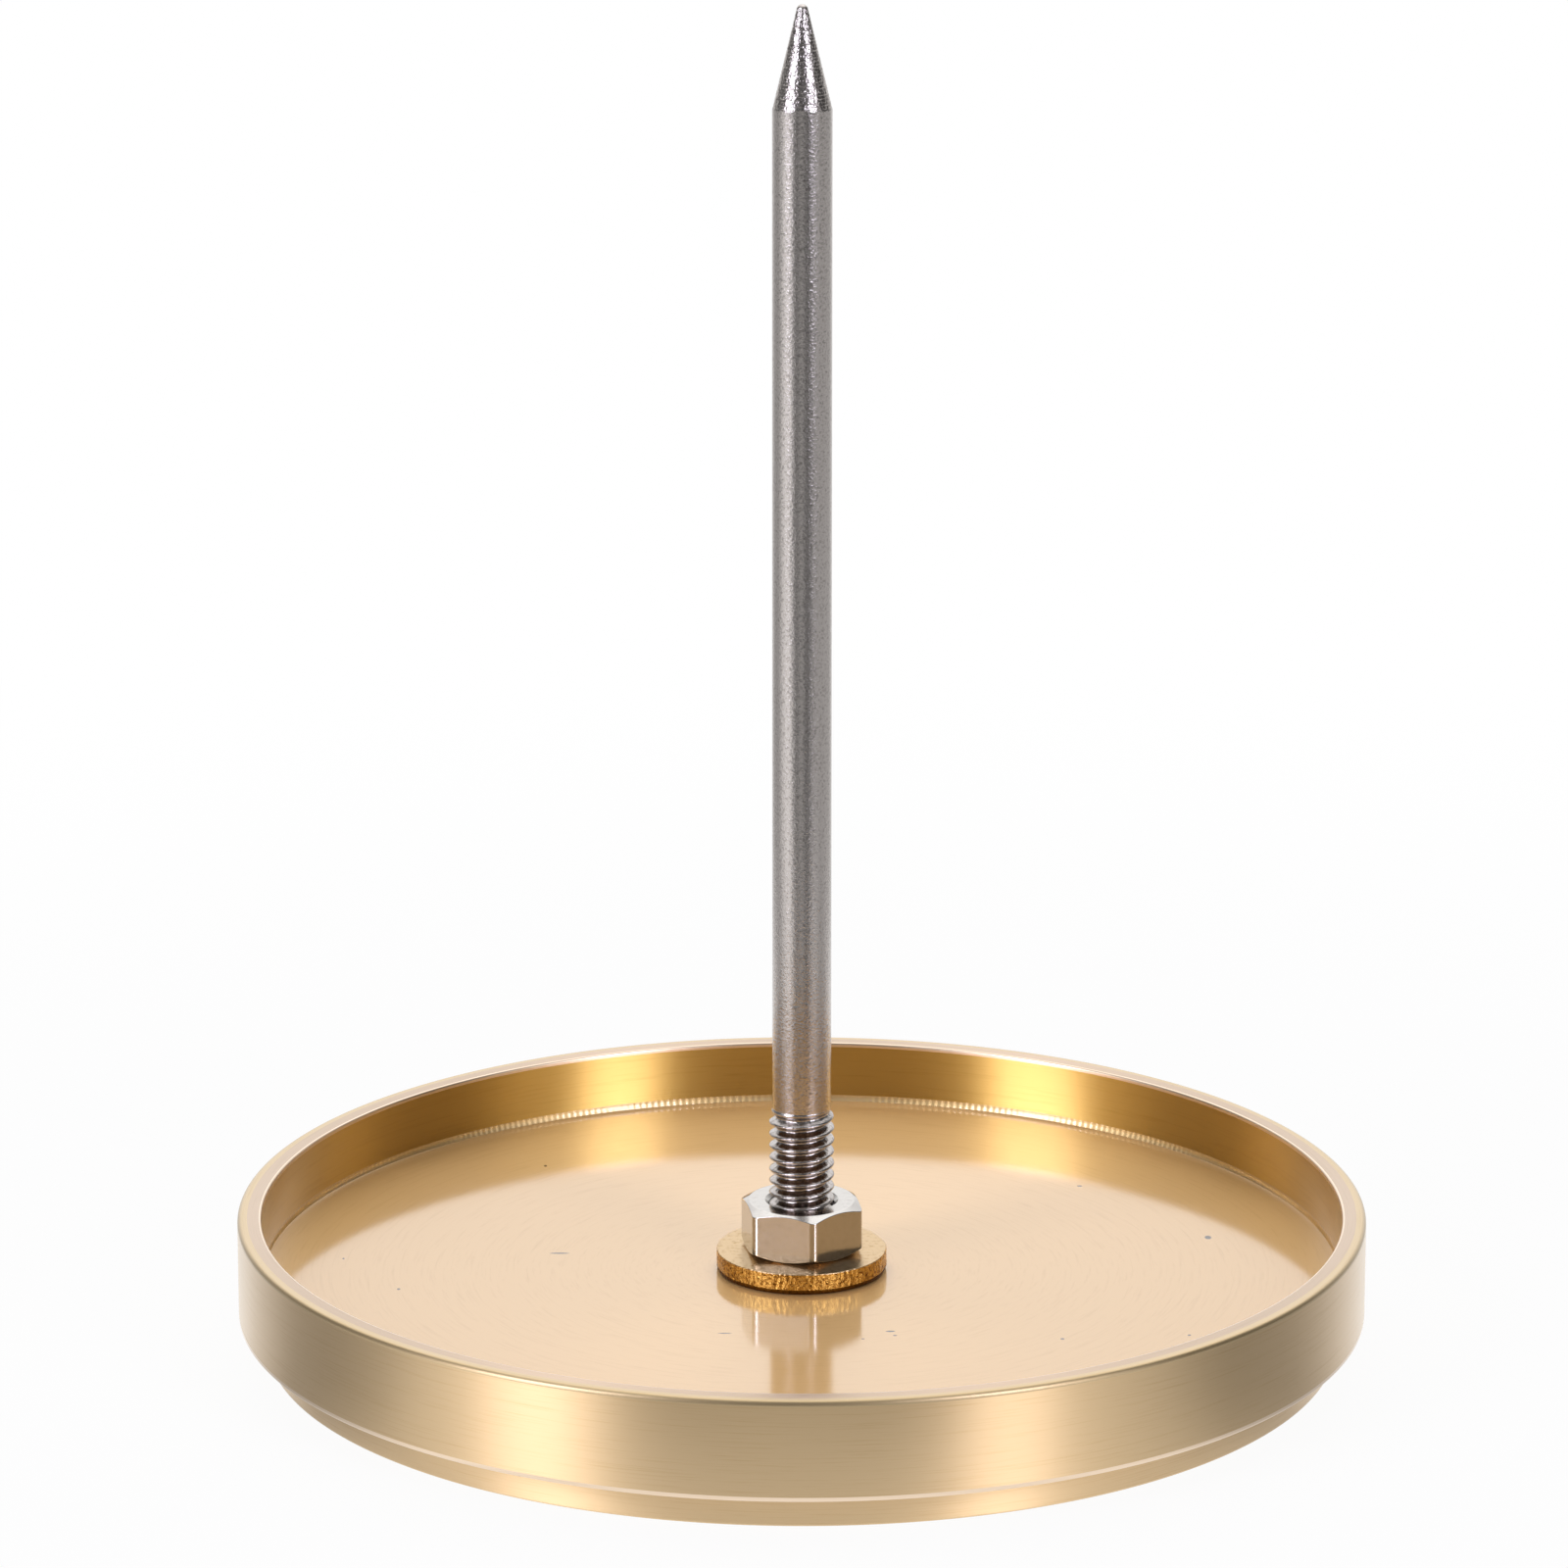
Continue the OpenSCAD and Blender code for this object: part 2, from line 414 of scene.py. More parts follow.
def turned_brass(name, colour, dark_colour, roughness, anisotropy, coat_roughness, line_mm, line_depth,
                 coat_ior=1.6, chatter=0, marks=()):
    """Brass with lathe lines of a width and depth in mm, chatter as a count round, and small dark marks."""
    material, tree, output = new_finish(name)
    place = add(tree, "ShaderNodeTexCoord").outputs["Object"]
    flat = add(tree, "ShaderNodeVectorMath", {1: FLAT}, {0: place}, operation="MULTIPLY")
    around = add(tree, "ShaderNodeVectorMath", links={0: flat.outputs[0]}, operation="NORMALIZE")
    slow = add(tree, "ShaderNodeVectorMath", {"Scale": LINES_ROUND}, {0: around.outputs[0]},
               operation="SCALE")
    along = add(tree, "ShaderNodeAttribute", attribute_name="along").outputs["Fac"]
    packed = add(tree, "ShaderNodeMath", {1: 1 / (line_mm * MM)}, {0: along}, operation="MULTIPLY")
    lift = add(tree, "ShaderNodeCombineXYZ", links={2: packed.outputs[0]})
    spot = add(tree, "ShaderNodeVectorMath", links={0: slow.outputs[0], 1: lift.outputs[0]}, operation="ADD")
    lines = add(tree, "ShaderNodeTexNoise", {"Scale": 1, "Detail": 3, "Roughness": 0.65},
                {"Vector": spot.outputs[0]})
    streak = add(tree, "ShaderNodeMapRange", {1: STREAK_FROM, 2: STREAK_FULL}, {0: lines.outputs["Fac"]})
    tint = add(tree, "ShaderNodeMix", {"A": linear(colour), "B": linear(dark_colour)},
               {"Factor": streak.outputs[0]}, data_type="RGBA")
    if marks:
        tint = add(tree, "ShaderNodeMix", {"B": linear(MARK_COLOUR)},
                   {"Factor": in_marks(tree, place, marks), "A": tint.outputs["Result"]}, data_type="RGBA")
    relief = add(tree, "ShaderNodeBump", {"Strength": 1, "Distance": line_depth * MM},
                 {"Height": lines.outputs["Fac"]})
    if chatter:
        xyz = add(tree, "ShaderNodeSeparateXYZ", links={0: place}).outputs
        angle = add(tree, "ShaderNodeMath", links={0: xyz["Y"], 1: xyz["X"]}, operation="ARCTAN2")
        beats = add(tree, "ShaderNodeMath", {1: chatter}, {0: angle.outputs[0]}, operation="MULTIPLY")
        wave = add(tree, "ShaderNodeMath", links={0: beats.outputs[0]}, operation="SINE")
        relief = add(tree, "ShaderNodeBump", {"Strength": 1, "Distance": CHATTER_DEPTH},
                     {"Height": wave.outputs[0], "Normal": relief.outputs[0]})
    tangent = add(tree, "ShaderNodeTangent", direction_type="RADIAL", axis="Z")
    metal = add(tree, "ShaderNodeBsdfPrincipled",
                {"Metallic": 1, "Roughness": roughness, "Anisotropic": anisotropy,
                 "Anisotropic Rotation": ACROSS_LINES, "Coat Weight": 1, "Coat Roughness": coat_roughness,
                 "Coat IOR": coat_ior},
                {"Base Color": tint.outputs["Result"], "Normal": relief.outputs[0],
                 "Coat Normal": relief.outputs[0], "Tangent": tangent.outputs[0]})
    tree.links.new(metal.outputs[0], output.inputs[0])
    return material


# %% [markdown]
# One tray has seven finishes, because each stretch of it met another tool. One finish for the whole tray
# would be less work, but then the floor would be as dark as the wall. The real lines lie about 0.05 mm
# apart, which is too fine for a picture of the whole object, so they are drawn 0.14 to 0.3 mm apart. The
# coat's IOR sets how clearly a stretch mirrors the room: the faced floor shows a second image of the
# spike, the bored wall hardly.

# %% The tray's finishes
# Pores and scratches of the floor: (x, y, length, width) in mm
FLOOR_MARKS = [(38, 8.5, 0.6, 1), (-22.5, 4, 1.7, 0.35), (8, -17.5, 0.8, 0.4), (8.4, -18.6, 0.35, 0.3),
               (-7, -18, 1.2, 0.25), (-24.5, 29.5, 0.3, 0.5), (26.5, 23.5, 0.5, 0.4), (5.5, -19.5, 0.3, 0.25),
               (23.5, -19.5, 0.35, 0.4), (35, -18.5, 0.3, 0.4), (-37, -6, 0.3, 0.5), (-42.5, 2.5, 0.2, 0.4)]

# The faced floor: a pale sheen over the whole dish, faint arcs, a few dark specks and a clear second image
brass_floor = turned_brass("brass_faced", "#f2cc90", "#eac384", roughness=0.7, anisotropy=0.44,
                           coat_roughness=0.1, line_mm=0.3, line_depth=0.0035, coat_ior=2.9,
                           marks=FLOOR_MARKS)
# The corner left by the tool's nose: a thin line, white below the lamps, which chatter cuts into dashes
brass_corner = turned_brass("brass_corner", "#e2c184", "#d8b676", roughness=0.44, anisotropy=0,
                            coat_roughness=0.12, line_mm=0.3, line_depth=0.001, coat_ior=1.8, chatter=500)
# The bored wall: deep gold, with two bright panels where it faces the lamps
brass_inside = turned_brass("brass_bored", "#d9b463", "#cea657", roughness=0.34, anisotropy=0.9,
                            coat_roughness=0.2, line_mm=0.3, line_depth=0.003, coat_ior=1.35)
# The brushed outside: broad soft bands of light and very fine level lines
brass_outside = turned_brass("brass_brushed", "#eecd9a", "#e2bd86", roughness=0.42, anisotropy=0.9,
                             coat_roughness=0.25, line_mm=0.14, line_depth=0.0025)
# The rim's flat top: pale and even
brass_rim = turned_brass("brass_rim", "#d4b696", "#caac8a", roughness=0.42, anisotropy=0.9,
                         coat_roughness=0.25, line_mm=0.2, line_depth=0.002)
# The rim's outer edge, worn round by hands: a soft darker line
brass_worn = turned_brass("brass_worn", "#d8be92", "#ccb080", roughness=0.42, anisotropy=0.3,
                          coat_roughness=0.25, line_mm=0.2, line_depth=0.001, coat_ior=1.35)
# Edges that a file only broke, painted near white: a painted highlight, the thin bright line they show
brass_highlight_edge = turned_brass("brass_painted_highlight", "#f8dfc2", "#f0d4b2", roughness=0.3, anisotropy=0,
                          coat_roughness=0.3, line_mm=0.2, line_depth=0.001)
print("finishes:", [m.name for m in bpy.data.materials])

# %% [markdown]
# The hole in the tray is tapped, as the nut is. Its side needs many close rows, so that the thread tree
# has points to move. The hole is drawn at its clear width and its thread is cut outwards from there. A
# thread that reached inwards would be truer, but then the spike could not be drawn straight out of it
# without touching.

# %% Tapped holes
HOLE_CLEARANCE = 0.05 * MM
HOLE_BEVEL = thread_depth / 2
TAP_DEPTH = 0.3 * MM
TAP_ROWS = 12
SPARE = 0.01 * MM

hole_r = thread_r + HOLE_CLEARANCE


def hole_rows(low, high, finish):
    """Corners up the side of a hole between two levels, with a number of rows to each turn."""
    rows = round((high - low - 2 * HOLE_BEVEL) / thread_pitch * TAP_ROWS)
    return [(hole_r, z, 0, finish) for z in np.linspace(low + HOLE_BEVEL, high - HOLE_BEVEL, rows)]


def tap(piece, low, high, run_out, material):
    """Cuts a hole's thread, half a turn on from the spike's, so that its roots take the crests."""
    cut_thread(piece, {
        "Pitch": thread_pitch, "Start": 0.5, "Radius": hole_r, "Depth": -TAP_DEPTH, "Low end": low,
        "High end": high - HOLE_BEVEL + SPARE, "Run-out": run_out, "End radius": hole_r,
        "Reach": hole_r + SPARE, "Material": material})


print(f"holes {2 * hole_r / MM:.2f} mm across, with bevels of {HOLE_BEVEL / MM:.2f} mm")

# %% [markdown]
# The tray's outline starts in that hole, crosses the floor to the corner at the foot of the wall, and
# goes over the rim and down to the set-in foot. The boring tool's nose leaves part of a round in that
# corner, which meets the floor at a slant. The rim's outer edge is rubbed rounder than the others. A
# cylinder with inset and pushed faces would be a quick start, but a turned outline keeps each radius as
# a number.

# %% Tray sizes
WALL = 2.2 * MM
FOOT_INSET = 2.55 * MM
FOOT_HEIGHT = 3.2 * MM
FOOT_LAND = 8 * MM
RELIEF = 1 * MM
EDGE = 0.2 * MM
RIM_EDGE = 0.45 * MM
STEP_EDGE = 0.22 * MM
CORNER = 1.4 * MM
CORNER_START, CORNER_END = math.radians(29), math.radians(4)
CORNER_POINTS = 8
TRAY_SEGMENTS = 512

dish_r = tray_r - WALL
foot_r = tray_r - FOOT_INSET
land_r = foot_r - FOOT_LAND
print(f"dish {2 * dish_r / MM:.1f} mm across and {(tray_h - floor_z) / MM:.1f} mm deep")
print(f"foot {2 * foot_r / MM:.1f} mm across")

# %% Tray
FACED, FILLET, BORED, BRUSHED, RIM, WORN, HIGHLIGHT_EDGE = range(7)

corner_points = []
for t in np.linspace(CORNER_START, CORNER_END, CORNER_POINTS):
    radius = dish_r - CORNER * (math.cos(CORNER_END) - math.cos(t))
    height = floor_z + CORNER * (math.sin(CORNER_START) - math.sin(t))
    corner_points.append((radius, height, 0, FILLET if corner_points else FACED))
tray_outline = rounded([
    *hole_rows(RELIEF, floor_z, FACED),
    (hole_r + HOLE_BEVEL, floor_z, 0, FACED),
    *corner_points,
    (dish_r, tray_h - 2 * EDGE, 0, BORED),
    # The dish's top edge and the step under the wall get the near-white painted highlight
    (dish_r, tray_h, EDGE, HIGHLIGHT_EDGE),
    (tray_r - 2 * RIM_EDGE, tray_h, 0, RIM),
    (tray_r, tray_h, RIM_EDGE, WORN),
    (tray_r, FOOT_HEIGHT + 2 * STEP_EDGE, 0, BRUSHED),
    (tray_r, FOOT_HEIGHT, STEP_EDGE, HIGHLIGHT_EDGE),
    (foot_r, FOOT_HEIGHT, 0, BRUSHED),
    (foot_r, 0, EDGE, BRUSHED),
    (land_r, 0, 0, BRUSHED),
    (land_r, RELIEF, 0, BRUSHED),
    (hole_r + HOLE_BEVEL, RELIEF, 0, BRUSHED),
])
tray = lathe("tray_turned", full_turn(TRAY_SEGMENTS), lambda angle: tray_outline,
             [brass_floor, brass_corner, brass_inside, brass_outside, brass_rim, brass_worn, brass_highlight_edge])
tap(tray, low=RELIEF, high=floor_z, run_out=SPARE / 2, material=brass_inside)
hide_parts("tray")
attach(tray, "tray")

# %% [markdown]
# The spike and the nut are stainless steel, and the washer is punched from brass sheet. None of them has
# a lacquer, or lines that follow a tool for long. What they show is an even grain, from drawing,
# grinding, rolling or tearing, which frays the edges of all that they mirror. One function with a size
# and a depth of grain makes them all. The grain of a drawn rod is about 0.1 mm, too fine to show here,
# so it is drawn at 0.25 mm, and the coarse grit of the point at 0.42 mm.

# %% Grained metal
def grained_metal(name, colour, dark_colour, roughness, grain_mm, grain_depth, pits=(0.5, 0.75), painted_shade=None):
    """Metal with an even grain, given as its size and depth in mm, and painted shade in its grooves."""
    material, tree, output = new_finish(name)
    place = add(tree, "ShaderNodeTexCoord").outputs["Object"]
    grain = add(tree, "ShaderNodeTexNoise", {"Scale": 1 / (grain_mm * MM), "Detail": 3, "Roughness": 0.6},
                {"Vector": place})
    dark = add(tree, "ShaderNodeMapRange", {1: pits[0], 2: pits[1]}, {0: grain.outputs["Fac"]})
    tint = add(tree, "ShaderNodeMix", {"A": linear(colour), "B": linear(dark_colour)},
               {"Factor": dark.outputs[0]}, data_type="RGBA")
    if painted_shade:
        # The attribute named groove holds the painted shade under the thread's crests
        groove = add(tree, "ShaderNodeAttribute", attribute_name="groove").outputs["Fac"]
        tint = add(tree, "ShaderNodeMix", {"B": linear(painted_shade)},
                   {"Factor": groove, "A": tint.outputs["Result"]}, data_type="RGBA")
    relief = add(tree, "ShaderNodeBump", {"Strength": 1, "Distance": grain_depth * MM},
                 {"Height": grain.outputs["Fac"]})
    metal = add(tree, "ShaderNodeBsdfPrincipled", {"Metallic": 1, "Roughness": roughness},
                {"Base Color": tint.outputs["Result"], "Normal": relief.outputs[0]})
    tree.links.new(metal.outputs[0], output.inputs[0])
    return material


# The drawn rod: soft bands along it with frayed edges, and a brown-black painted shade under its crests
steel_drawn = grained_metal("stainless_drawn", "#d0c9c5", "#a8a19d", roughness=0.18, grain_mm=0.25,
                            grain_depth=0.04, painted_shade="#463426")
# The ground point: marks of a coarse grit, which fray its two bright bands and speckle the dark between them
steel_ground = grained_metal("stainless_ground", "#d6cec9", "#847c78", roughness=0.22, grain_mm=0.42,
                             grain_depth=0.08)
# The bright nut: clear mirror faces with a slight wave
steel_bright = grained_metal("stainless_bright", "#d6d2ce", "#ccc7c2", roughness=0.16, grain_mm=0.6,
                             grain_depth=0.004)
print("steels:", [m.name for m in bpy.data.materials if m.name.startswith("stainless")])

# %% [markdown]
# The spike is one rod. Its blank has the full width of the thread below, then the plain shank, and a
# point that was ground by hand: rings run round it, its surface is lumpy, and it sits a tenth of a
# millimetre off the rod's axis, which tilts the edge where it starts. A sculpting brush could make those
# lumps. Here the outline changes with the angle by a little noise, which is the same each time. The
# threaded stretch gets many close rows.

# %% The point's shape
TIP_R = 0.5 * MM
POINT_OFF = 0.1 * MM
POINT_LOW = shank_high_z - 0.8 * MM
GROUND_FROM = shank_high_z + 0.3 * MM
POINT_ROWS = 180
# A row this far below the point keeps its shading off the shank
POINT_GUARD = 0.05 * MM
# Rings and lumps of the grinding, as spacing and depths in mm
RING_MM = 0.3
RING_CUT, LUMP_CUT, GRIT_CUT = 0.025, 0.025, 0.012
# How many lumps lie round a radian and up a millimetre, and how much finer the grit is
LUMPS_ROUND, LUMPS_UP = 10, 4
GRIT_FINER = 2

ball_z = spike_high.z - TIP_R
ball_rise = ball_z - shank_high_z
flank = math.acos(TIP_R / math.hypot(shank_r, ball_rise)) - math.atan2(ball_rise, shank_r)
meet_r = TIP_R * math.cos(flank)
meet_z = ball_z + TIP_R * math.sin(flank)
print(f"the point's side leans {math.degrees(flank):.1f} degrees")


def point_radius(z, angle):
    """The radius of the ground point at a height and an angle."""
    share = (z - shank_high_z) / (meet_z - shank_high_z)
    place = Vector((LUMPS_ROUND * math.cos(angle), LUMPS_ROUND * math.sin(angle), LUMPS_UP * z / MM))
    # A zigzag, from 0 on the crest of a ring to 1 in the groove beside it
    ring = abs((z / MM / RING_MM) % 1 - 0.5) * 2
    cut = RING_CUT * ring + LUMP_CUT * noise.noise(place) + GRIT_CUT * noise.noise(place * GRIT_FINER)
    return min(shank_r, shank_r + share * (meet_r - shank_r) - POINT_OFF * math.sin(angle) - cut * MM)


# %% Spike
DRAWN, GROUND = range(2)
SPIKE_SEGMENTS = 160
# Rows to each turn of the thread, and rows over the tip
THREAD_ROWS, TIP_ROWS = 20, 10
# The lumps of the tip: their height as a share of its radius, how many lie round a radian, and how many
# times closer they lie upwards
TIP_SWELL = 0.06
TIP_LUMPS, TIP_LUMPS_UP = 3, 4


def spike_outline(angle):
    """The blank: a full-width stretch for the thread, the shank, the point and the blunt tip."""
    rows = round((shank_low_z - spike_low.z) / thread_pitch * THREAD_ROWS)
    points = [(0, spike_low.z, DRAWN)]
    points += [(thread_r, z, DRAWN) for z in np.linspace(spike_low.z, shank_low_z, rows)[:-1]]
    points += [(shank_r, shank_low_z, DRAWN), (shank_r, POINT_LOW - POINT_GUARD, DRAWN)]
    for z in np.linspace(POINT_LOW, meet_z, POINT_ROWS):
        points.append((point_radius(z, angle), z, GROUND if z > GROUND_FROM else DRAWN))
    for a in np.linspace(flank, math.pi / 2, TIP_ROWS)[1:-1]:
        place = Vector((math.cos(angle), math.sin(angle), TIP_LUMPS_UP * a)) * TIP_LUMPS
        swell = 1 + TIP_SWELL * noise.noise(place) - POINT_OFF * math.sin(angle) / TIP_R
        points.append((TIP_R * math.cos(a) * swell, ball_z + TIP_R * math.sin(a), GROUND))
    return points + [(0, spike_high.z, GROUND)]


spike = lathe("spike_threaded", full_turn(SPIKE_SEGMENTS), spike_outline, [steel_drawn, steel_ground])
cut_thread(spike, {
    "Pitch": thread_pitch, "Start": 0.0, "Radius": thread_r, "Depth": thread_depth, "Low end": spike_low.z,
    "High end": shank_low_z, "Run-out": thread_pitch, "End radius": shank_r, "Reach": 2 * thread_r,
    "Material": steel_drawn})
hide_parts("spike")
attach(spike, "spike")

# %% [markdown]
# The washer is punched out of brass sheet. The punch pulls the lower corner round and tears the edge into
# upright streaks and crumbs, and the top keeps the dull dents of the rolled sheet. The rolled lower corner
# is painted brown, as painted shade of the gap under the washer. A Displace modifier could roughen a plain
# ring. Here the outline itself changes with the angle, so that the tears stop short of the flat faces and
# the three finishes stay in their places.

# %% The washer's finishes
# Rolled sheet: a pale, soft sheen with shallow dents
brass_rolled = grained_metal("brass_rolled", "#d8ba8e", "#b8945c", roughness=0.3, grain_mm=0.5,
                             grain_depth=0.03)
# The torn edge: bright gold crumbs among dark pits
brass_sheared = grained_metal("brass_sheared", "#e6b660", "#83561e", roughness=0.22, grain_mm=0.34,
                              grain_depth=0.12, pits=(0.46, 0.66))
# The lower corner: brown painted shade of the gap between the washer and the tray
brass_painted_shade = grained_metal("brass_painted_shade", "#6a4414", "#3a2408", roughness=0.5, grain_mm=0.3,
                                grain_depth=0.02)
print("washer:", brass_rolled.name, brass_sheared.name, brass_painted_shade.name)

# %% Washer
WASHER_CLEARANCE = 0.25 * MM
WASHER_ROLL = 0.4 * MM
TOP_EDGE = 0.08 * MM
TOP_GUARD = 0.5 * MM
CORNER_SHADE_WIDTH = 3 * WASHER_ROLL
WASHER_SEGMENTS = 600
# The torn stretch: how far it starts below the top, ends above the bottom and reaches in
TORN_TOP, TORN_LOW = 0.15 * MM, 1.2 * WASHER_ROLL
TORN_WIDTH = 0.4 * MM
TORN_ROWS = 8
# Tears from coarse to fine: how many round a radian, how they change up a millimetre, and their depth in mm
LUMPS, STREAKS, CRUMBS = (3, 0, 0.08), (26, 1, 0.05), (60, 5, 0.03)
# Added to the noise, so that it cuts inwards nearly everywhere
TEAR_SHIFT = 0.5
ROLLED, SHEARED, SHADED_CORNER = range(3)

washer_r = washer_high.x
washer_hole_r = thread_r + WASHER_CLEARANCE


def washer_outline(angle):
    """A punched edge: torn in upright streaks, with its lower corner rolled over."""
    low, high = washer_low.z, washer_high.z
    corners = [(washer_hole_r, low, 0, ROLLED), (washer_hole_r, high, 0, ROLLED)]
    corners += [(washer_r - TOP_GUARD, high, 0, ROLLED), (washer_r, high, TOP_EDGE, ROLLED)]
    for z in np.linspace(high - TORN_TOP, low + TORN_LOW, TORN_ROWS):
        corners.append((washer_r, z, 0, SHEARED))
    # The rolled lower corner and a strip of the underside get the brown painted shade of the gap
    corners += [(washer_r, low, WASHER_ROLL, SHADED_CORNER), (washer_r - CORNER_SHADE_WIDTH, low, 0, SHADED_CORNER)]
    around = Vector((math.cos(angle), math.sin(angle), 0))
    points = []
    for radius, height, finish in rounded(corners):
        share = max(0, min(1, (radius - washer_r + TORN_WIDTH) / TORN_WIDTH))
        torn = 0
        for count, rise, depth in (LUMPS, STREAKS, CRUMBS):
            place = count * around + Vector((0, 0, rise * height / MM))
            torn += depth * (noise.noise(place) + TEAR_SHIFT)
        points.append((radius - share * torn * MM, height, finish))
    return points


washer = lathe("washer_punched", full_turn(WASHER_SEGMENTS), washer_outline,
               [brass_rolled, brass_sheared, brass_painted_shade])
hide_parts("washer")
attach(washer, "washer")

# %% [markdown]
# The nut is a hexagon whose ends are turned to cones, which leaves the curved edges on its six faces. A
# hexagon cut by two cones with booleans would make it, but then every edge would be sharp. The lathe can
# make it too: the radius of a softened hexagon is known at each angle, and the cone takes off more where
# the radius is larger. The softened corners catch the thin bright lines that a tumbled nut has.

# %% A softened hexagon
NUT_ACROSS = 10.3 * MM
NUT_TURN = math.radians(11)
NUT_CORNER = 0.75 * MM
# Points along each side, and where on it the first and the last lie
SIDE_POINTS = 14
SIDE_START, SIDE_END = 0.08, 0.92

nut_corner_r = NUT_ACROSS / math.sqrt(3)


def hexagon():
    """Angles and radii round a hexagon with softened corners."""
    corners = []
    for i in range(6):
        a = NUT_TURN - math.pi / 2 + i * math.pi / 3
        b = a + math.pi / 3
        start = Vector((math.cos(a), math.sin(a))) * nut_corner_r
        end = Vector((math.cos(b), math.sin(b))) * nut_corner_r
        corners.append((*start, NUT_CORNER, 0))
        for t in np.linspace(SIDE_START, SIDE_END, SIDE_POINTS):
            corners.append((*start.lerp(end, t), 0, 0))
    spots = [(math.atan2(y, x) % (2 * math.pi), math.hypot(x, y)) for x, y, finish in rounded(corners)]
    return dict(sorted(spots))


nut_radius = hexagon()
print("points round the nut:", len(nut_radius))

# %% Nut
NUT_CONE = math.radians(30)
FACE_EDGE = 0.2 * MM
SIDE_EDGE = 0.08 * MM
MOUTH_EDGE = 0.05 * MM
# The cones start a little inside the flats
FACE_SHARE = 0.95

nut_face_r = FACE_SHARE * NUT_ACROSS / 2


def nut_outline(angle):
    """The tapped hole with its bevels, the faces, and the cones that take off the hexagon's corners."""
    side = nut_radius[angle]
    low, high = nut_low.z, nut_high.z
    drop = (side - nut_face_r) * math.tan(NUT_CONE)
    return rounded([
        *hole_rows(low, high, 0),
        (hole_r + HOLE_BEVEL, high, MOUTH_EDGE, 0),
        (nut_face_r, high, FACE_EDGE, 0),
        (side, high - drop, SIDE_EDGE, 0),
        (side, low + drop, SIDE_EDGE, 0),
        (nut_face_r, low, FACE_EDGE, 0),
        (hole_r + HOLE_BEVEL, low, MOUTH_EDGE, 0),
    ])


nut = lathe("lock_nut_hex", list(nut_radius), nut_outline, [steel_bright])
tap(nut, low=nut_low.z, high=nut_high.z, run_out=thread_pitch / 2, material=steel_bright)
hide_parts("lock_nut")
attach(nut, "lock_nut")

# %% [markdown]
# The camera stands where a long lens saw the object: 16 degrees above the table and three quarters of a
# metre away. It could be set by eye, but the tray's circles give it: the shape of their ellipses gives
# the angle, and the difference between front and back gives the distance. A long lens keeps the spike
# upright.

# %% Camera
CAMERA_ELEVATION = math.radians(15.955)
CAMERA_DISTANCE = 764.3 * MM
CAMERA_TARGET = Vector((-1.63 * MM, 0, 53.11 * MM))
# The lens and the film behind it, in mm, and how far the camera sees, in metres
LENS, FILM_WIDTH = 192.9, 36
SIGHT = 20

camera_data = bpy.data.cameras.new("camera")
camera_data.sensor_width = FILM_WIDTH
camera_data.lens = LENS
camera_data.clip_end = SIGHT
camera = bpy.data.objects.new("camera", camera_data)
forward = Vector((0, math.cos(CAMERA_ELEVATION), -math.sin(CAMERA_ELEVATION)))
camera.location = CAMERA_TARGET - forward * CAMERA_DISTANCE
camera.rotation_euler = forward.to_track_quat("-Z", "Y").to_euler()
bpy.context.scene.collection.objects.link(camera)
bpy.context.scene.camera = camera
print(f"lens {camera_data.lens:.1f} mm, {camera.location.z / MM:.0f} mm above the table")

# %% [markdown]
# Bare metal has hardly a look of its own: it shows the room. The real studio was a white table between
# tall lamps, with a darker room in front, and its lights and gaps are what bands the wall, the dish and
# the spike. That room could be built from cards. It is simpler to give the table and the world a level
# for each direction, as a panorama of one line, and to keep two real lamps for the strongest lights.

# %% A panorama of levels
def grey(level):
    """A level of light as a colour without hue. A level of 1 is white."""
    return (level, level, level, 1)


def azimuth(tree, direction):
    """The angle of a direction round the axis, in radians from straight ahead."""
    xyz = add(tree, "ShaderNodeSeparateXYZ", links={0: direction}).outputs
    front = add(tree, "ShaderNodeMath", {1: -1}, {0: xyz["Y"]}, operation="MULTIPLY")
    angle = add(tree, "ShaderNodeMath", links={0: xyz["X"], 1: front.outputs[0]}, operation="ARCTAN2")
    return angle.outputs[0]


def panorama(tree, angle, stops):
    """How bright the studio is all round, from stops of (degrees from straight ahead, level)."""
    share = add(tree, "ShaderNodeMapRange", {1: -math.pi, 2: math.pi}, {0: angle})
    ramp = add(tree, "ShaderNodeValToRGB", links={0: share.outputs[0]})
    marks = ramp.color_ramp.elements
    while len(marks) < len(stops):
        marks.new(1)
    for mark, (degrees, level) in zip(marks, stops):
        mark.position = (degrees + 180) / 360
        mark.color = grey(level)
    return ramp.outputs["Color"]


# %% The studio's levels
# The table close by, which the outside of the tray mirrors
TABLE_NEAR = [(-97, 1), (-85, 0.98), (-75, 0.72), (-66, 0.4), (-58, 0.37), (-53, 0.43), (-48, 0.54),
              (-43, 0.88), (-38, 1), (-26, 1), (-21, 0.75), (-16, 0.28), (-9, 0.22), (-3, 0.3), (3, 0.24),
              (10, 0.16), (15, 0.15), (19, 0.42), (24, 0.72), (32, 0.85), (39, 0.72), (44, 0.5), (49, 0.36),
              (61, 0.4), (67, 0.52), (76, 0.8), (87, 1)]
# The table further off, which the spike mirrors
TABLE_FAR = [(-180, 1), (-155, 0.85), (-140, 0.5), (-120, 0.42), (-104, 0.42), (-94, 0.5), (-82, 0.85),
             (-68, 1), (-50, 1), (-41, 0.8), (-34, 0.34), (-21, 0.14), (-8, 0.46), (4, 0.41), (16, 0.12),
             (29, 0.2), (42, 0.32), (60, 0.44), (85, 0.48), (115, 0.5), (135, 0.5), (150, 0.85), (180, 1)]
